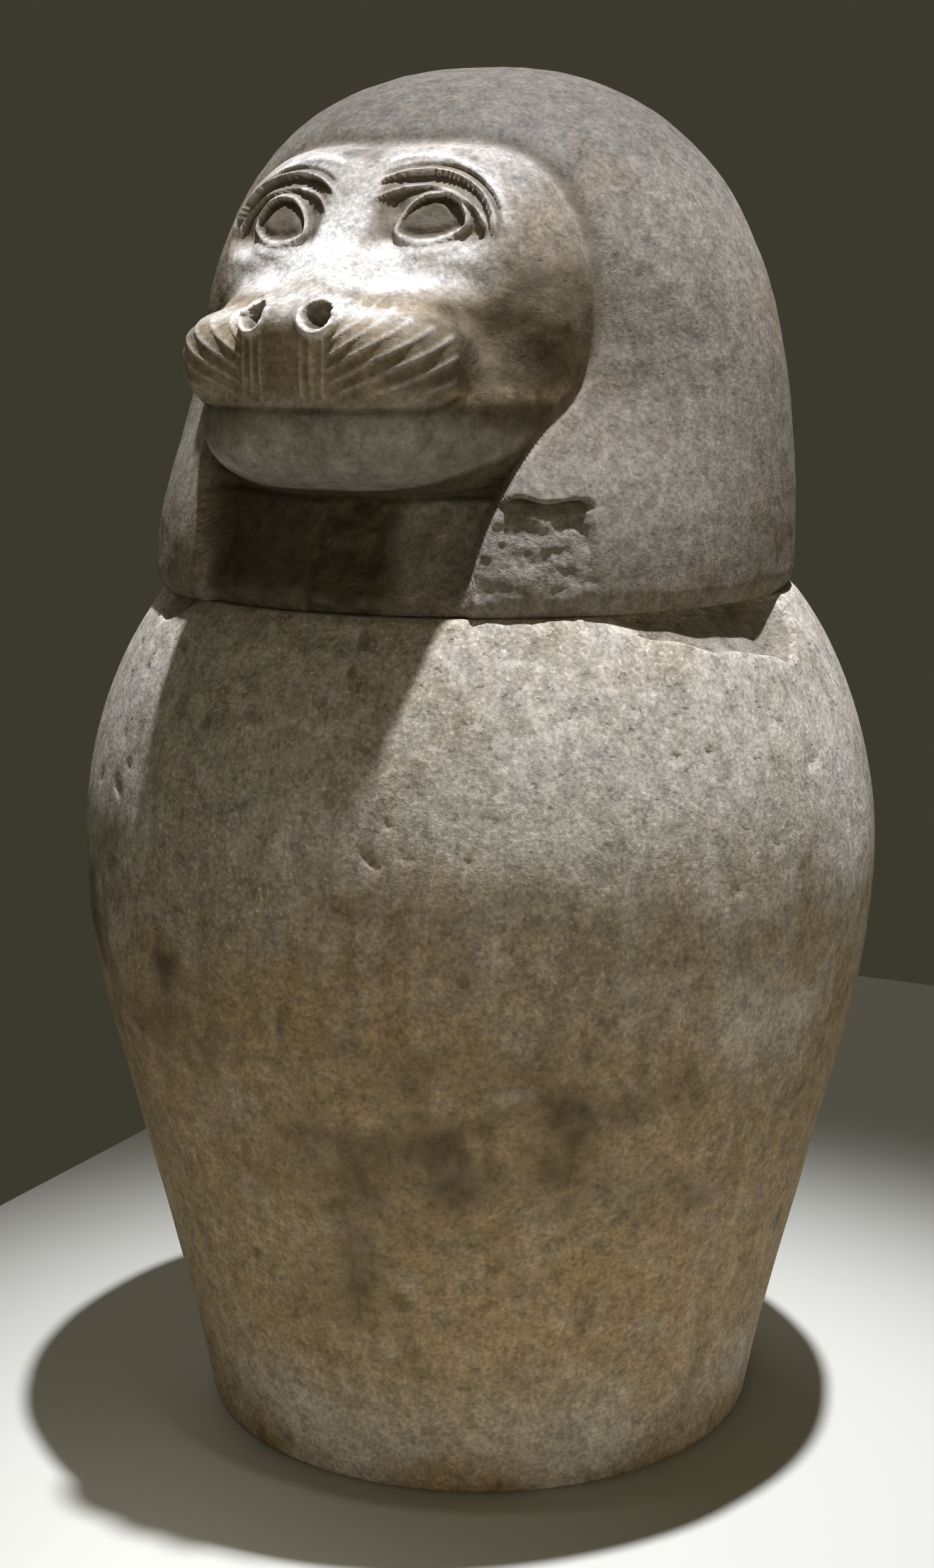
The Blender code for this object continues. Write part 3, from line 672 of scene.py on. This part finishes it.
def limestone(name, look):
    # Fine dense limestone, rubbed smooth and long buried: a dull surface with no
    # gloss, grey where the skin has weathered off, brown where it is still there
    material = bpy.data.materials.new(name)
    material.use_nodes = True
    tree = material.node_tree
    tree.nodes.clear()
    place = addNode(tree, "ShaderNodeTexCoord", {}, {})
    stretched = addNode(tree, "ShaderNodeMapping", {"Scale": (1.0, 1.0, 0.12)},
                        {"Vector": (place, "Object")})
    mark = {which: addNode(tree, "ShaderNodeAttribute", {"attribute_name": which}, {})
            for which in ("grimeAndShade", "wearAndPaintedLight", "patina", "pecked", "torn", "shade")}
    pattern = {}
    for which, (width, detail, rough) in stonePatterns.items():
        source = (stretched, "Vector") if which == "streaks" else (place, "Object")
        settings = {"Scale": 1000.0 / width, "Detail": detail, "Roughness": rough}
        pattern[which] = addNode(tree, "ShaderNodeTexNoise", settings, {"Vector": source})

    # how much each layer shows: patina in blotches, warm clouds, dark streaks, pale specks, the painted
    # shade on the crown, dirt and painted shade held by the grain, worn places with painted highlight and
    # painted light, and mottle and grain over all
    patchy = look["patchiness"]
    patina = addNode(tree, "ShaderNodeMath", {"operation": "MULTIPLY_ADD", 1: patchy},
                     {0: (pattern["blotch"], "Fac"), 2: (mark["patina"], "Fac")})
    patina = addNode(tree, "ShaderNodeMapRange",
                     {"From Min": patchy * 0.5 - 0.05, "From Max": patchy * 0.5 + 1.05},
                     {"Value": (patina, "Value")})
    clouds = addNode(tree, "ShaderNodeMapRange", {"From Min": 0.5, "From Max": 0.72, "To Max": 0.65},
                     {"Value": (pattern["clouds"], "Fac")})
    streaks = addNode(tree, "ShaderNodeMapRange",
                      {"From Min": 0.52, "From Max": 0.7, "To Max": look["streaks"]},
                      {"Value": (pattern["streaks"], "Fac")})
    specks = addNode(tree, "ShaderNodeMapRange",
                     {"From Min": 0.6, "From Max": 0.72, "To Max": look["specks"]},
                     {"Value": (pattern["speck"], "Fac")})
    specks = addNode(tree, "ShaderNodeMath", {"operation": "MULTIPLY"},
                     {0: (specks, "Result"), 1: (mark["pecked"], "Fac")})
    shade = addNode(tree, "ShaderNodeMapRange", {"To Min": 1.0, "To Max": 0.5},
                    {"Value": (mark["shade"], "Fac")})
    grain = addNode(tree, "ShaderNodeMapRange",
                    {"From Min": 0.3, "From Max": 0.7, "To Min": 0.66, "To Max": 1.3},
                    {"Value": (pattern["grain"], "Fac")})
    # dirt and painted shade, held by the grain
    dirtAndShade = addNode(tree, "ShaderNodeMath", {"operation": "MULTIPLY_ADD", 1: 1.3, 2: -0.12},
                   {0: (mark["grimeAndShade"], "Fac")})
    dirtAndShade = addNode(tree, "ShaderNodeMath", {"operation": "MULTIPLY", "use_clamp": True},
                   {0: (dirtAndShade, "Value"), 1: (grain, "Result")})
    # worn places, painted highlight and painted light
    wearAndPaintedLight = addNode(tree, "ShaderNodeMath", {"operation": "MULTIPLY", 1: look["wearAndPaintedLight"], "use_clamp": True},
                   {0: (mark["wearAndPaintedLight"], "Fac")})
    mottle = addNode(tree, "ShaderNodeMapRange",
                     {"From Min": 0.33, "From Max": 0.67, "To Min": 0.66, "To Max": 1.34},
                     {"Value": (pattern["mottle"], "Fac")})

    # the layers in their order, each one colour laid on by its share or a factor that
    # the colours below it are multiplied by
    body = addNode(tree, "ShaderNodeMix",
                   {"data_type": "RGBA", 6: linear(look["grey"]), 7: linear(look["brown"])},
                   {0: (patina, "Result")})
    for tint, share, output in (("warm", clouds, "Result"), ("dark", streaks, "Result"),
                                ("pale", specks, "Value"), (None, shade, "Result"),
                                ("dark", dirtAndShade, "Value"), ("pale", wearAndPaintedLight, "Value"),
                                (None, mottle, "Result"), (None, grain, "Result")):
        if tint:
            body = addNode(tree, "ShaderNodeMix", {"data_type": "RGBA", 7: linear(look[tint])},
                           {0: (share, output), 6: (body, 2)})
        else:
            body = addNode(tree, "ShaderNodeMix", {"data_type": "RGBA", "blend_type": "MULTIPLY", 0: 1.0},
                           {6: (body, 2), 7: (share, output)})

    # relief: grain, pits with ragged edges where the stone is pecked, and mottle that is
    # much stronger where it is torn
    cells = addNode(tree, "ShaderNodeTexVoronoi", {"Scale": 1000.0 / pitSpacing, "Randomness": 1.0},
                    {"Vector": (place, "Object")})
    ragged = addNode(tree, "ShaderNodeMath", {"operation": "MULTIPLY_ADD", 1: 1.9},
                     {0: (pattern["mottle"], "Fac"), 2: (cells, "Distance")})
    pits = addNode(tree, "ShaderNodeMapRange",
                   {"From Min": 0.92, "From Max": 1.12, "To Min": -1.2, "To Max": 0.0},
                   {"Value": (ragged, "Value")})
    pits = addNode(tree, "ShaderNodeMath", {"operation": "MULTIPLY"},
                   {0: (pits, "Result"), 1: (mark["pecked"], "Fac")})
    relief = addNode(tree, "ShaderNodeMath", {"operation": "MULTIPLY_ADD", 1: 0.4},
                     {0: (pattern["grain"], "Fac"), 2: (pits, "Value")})
    uneven = addNode(tree, "ShaderNodeMath", {"operation": "MULTIPLY_ADD", 1: 12.0, 2: 0.9},
                     {0: (mark["torn"], "Fac")})
    relief = addNode(tree, "ShaderNodeMath", {"operation": "MULTIPLY_ADD"},
                     {0: (pattern["mottle"], "Fac"), 1: (uneven, "Value"), 2: (relief, "Value")})
    bump = addNode(tree, "ShaderNodeBump", {"Strength": look["bump"], "Distance": 0.0006},
                   {"Height": (relief, "Value")})
    dull = look["roughness"]
    roughness = addNode(tree, "ShaderNodeMapRange",
                        {"From Min": 0.3, "From Max": 0.7, "To Min": dull - 0.08, "To Max": dull + 0.08},
                        {"Value": (pattern["blotch"], "Fac")})
    shader = addNode(tree, "ShaderNodeBsdfPrincipled", {"IOR": 1.5, "Specular IOR Level": 0.35},
                     {"Base Color": (body, 2), "Roughness": (roughness, "Result"),
                      "Normal": (bump, "Normal")})
    addNode(tree, "ShaderNodeOutputMaterial", {}, {"Surface": (shader, "BSDF")})
    return material


# The jar is pecked and greyer above; the lid is smoother, paler where it is rubbed and where highlight
# and light are painted
jarLook = {
    "grey": "#B7B1A6", "brown": "#9C8764", "warm": "#8E7B56", "dark": "#4C412C", "pale": "#D2CFC6",
    "patchiness": 1.1, "streaks": 0.35, "specks": 0.8, "wearAndPaintedLight": 0.6, "roughness": 0.85, "bump": 0.6,
}
lidLook = {
    "grey": "#8F887E", "brown": "#A2927A", "warm": "#948066", "dark": "#4C412C", "pale": "#EBE9E4",
    "patchiness": 0.7, "streaks": 0.12, "specks": 0.25, "wearAndPaintedLight": 0.85, "roughness": 0.78, "bump": 0.5,
}


# Floor and lights: a pale matt board that ends before a dull plain backdrop

stage = {"floor": "#BFBFB7", "wall": "#3C3A2E", "left": -0.22, "right": 1.3, "near": -1.3, "far": 0.48}


def makeStage():
    # one flat sheet of board, and the backdrop's colour all round
    material = bpy.data.materials.new("matt white board")
    material.use_nodes = True
    shader = material.node_tree.nodes["Principled BSDF"]
    shader.inputs["Base Color"].default_value = linear(stage["floor"])
    shader.inputs["Roughness"].default_value = 0.9
    mesh = bpy.data.meshes.new("floor")
    left, right, near, far = (stage[side] for side in ("left", "right", "near", "far"))
    corners = [(left, near, 0), (right, near, 0), (right, far, 0), (left, far, 0)]
    mesh.from_pydata(corners, [], [(0, 1, 2, 3)])
    mesh.materials.append(material)
    floor = bpy.data.objects.new("floor", mesh)
    bpy.context.scene.collection.objects.link(floor)
    world = bpy.data.worlds.new("room")
    world.use_nodes = True
    world.node_tree.nodes["Background"].inputs["Color"].default_value = linear(stage["wall"])
    world.node_tree.nodes["Background"].inputs["Strength"].default_value = 1.0
    bpy.context.scene.world = world
    bpy.context.scene.view_settings.view_transform = "Standard"


# A small lamp high over the stone's right shoulder, its pool of light as wide as the
# floor in view, broad low lamps in front, at +X and behind, and one that lights only the
# floor before the jar and so throws a soft light up under the chin. Each has its kind,
# place, aim, watts, size in metres, cone in degrees and colour
lights = {
    "key": ("SPOT", (0.23, 0.13, 3.0), (0.05, -0.07, 0.0), 660.0, 0.05, 12.5, "#F4F6FF"),
    "front": ("AREA", (0.6, -1.5, 0.05), (0.0, 0.0, 0.2), 5.2, 1.2, 0.0, "#FFEFD2"),
    "side": ("AREA", (1.5, -0.3, 0.08), (0.0, 0.0, 0.2), 3.2, 0.9, 0.0, "#FFF4E2"),
    "back": ("AREA", (-1.2, 0.8, 1.1), (0.0, 0.0, 0.15), 4.5, 1.2, 0.0, "#FFF8EC"),
    "floor": ("SPOT", (0.1, -0.55, 2.6), (0.02, -0.30, 0.0), 110.0, 0.1, 9.5, "#FFF6E8"),
}


def makeLights():
    # each lamp turned so that its beam runs from its place to its aim
    for name, (kind, place, aim, watts, size, cone, colour) in lights.items():
        data = bpy.data.lights.new(name, kind)
        data.energy = watts
        data.color = linear(colour)[:3]
        if kind == "SPOT":
            data.shadow_soft_size = size
            data.spot_size = math.radians(cone)
            data.spot_blend = 1.0
        else:
            data.size = size
        lamp = bpy.data.objects.new(name, data)
        lamp.location = place
        towards = Vector(aim) - Vector(place)
        lamp.rotation_euler = towards.to_track_quat("-Z", "Y").to_euler()
        bpy.context.scene.collection.objects.link(lamp)


placeCamera()
makeStage()
makeLights()
print("camera, floor and lights placed")

jarPiece = makeJar()
jarPiece.data.materials.append(limestone("weathered limestone, pecked shoulder", jarLook))
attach(jarPiece, "root")
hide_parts("jar")
print("jar made")

lidPiece = makeLid()
lidPiece.data.materials.append(limestone("smoothed limestone, carved head", lidLook))
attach(lidPiece, "root")
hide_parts("baboon_head_lid")
print("lid made")
